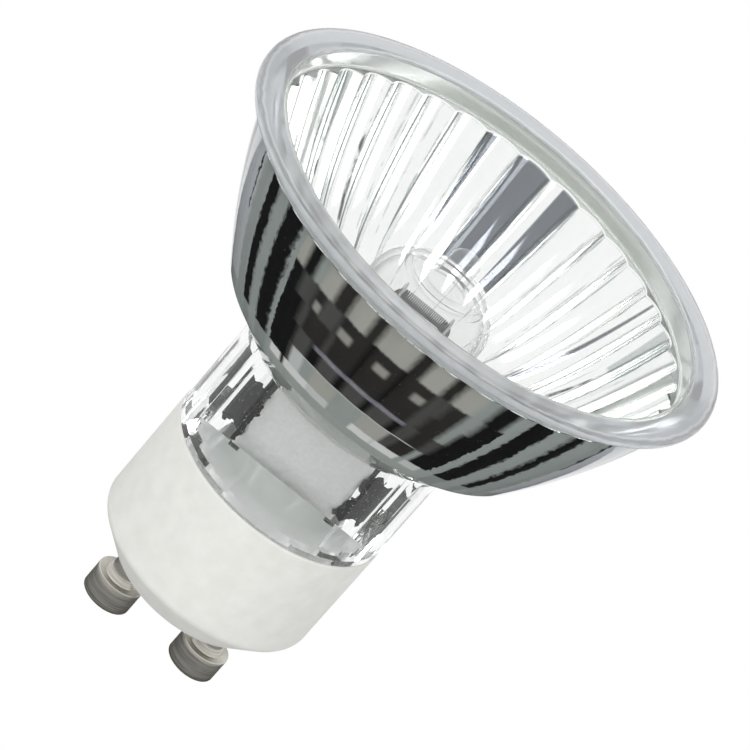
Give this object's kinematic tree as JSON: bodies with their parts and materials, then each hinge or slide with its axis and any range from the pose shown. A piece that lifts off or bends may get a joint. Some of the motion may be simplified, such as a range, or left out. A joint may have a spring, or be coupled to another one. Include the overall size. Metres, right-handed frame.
{
  "type": "halogen reflector bulb",
  "caption": "Mains halogen bulb: fluted glass reflector with a cover glass and a quartz burner on a white ceramic twist-lock two-pin cap.",
  "frame": {"origin": "on the lamp axis, at the foot of the ceramic cap, midway between the two pins", "axes": "+Z along the lamp axis from the cap towards the front glass, +X from the left pin to the right pin"},
  "size_m": [0.05, 0.05, 0.054],
  "materials": {
    "ceramic": "matt fired ceramic, warm white",
    "nickel": "turned, nickel plated, satin",
    "cement": "white lamp cement, dull and slightly rough",
    "pressed_glass": "clear pressed glass, mirrored inside the bowl",
    "cover_glass": "clear flat glass",
    "silicone": "translucent grey bead",
    "quartz": "clear quartz",
    "molybdenum": "bright drawn wire and rolled foil",
    "tungsten": "dark grey coiled wire"
  },
  "bodies": {
    "root": {"cap_body": "ceramic", "contact_pin_left": "nickel", "contact_pin_right": "nickel", "cap_cement": "cement", "reflector": "pressed_glass", "front_glass": "cover_glass", "front_seal": "silicone", "burner_envelope": "quartz", "burner_cement": "cement", "sealing_foil_left": "molybdenum", "sealing_foil_right": "molybdenum", "inner_lead_left": "molybdenum", "inner_lead_right": "molybdenum", "outer_lead_left": "molybdenum", "outer_lead_right": "molybdenum", "pin_wire": "nickel", "fuse_wire": "nickel", "filament": "tungsten", "filament_support_left": "molybdenum", "filament_support_right": "molybdenum"}
  },
  "joints": []
}
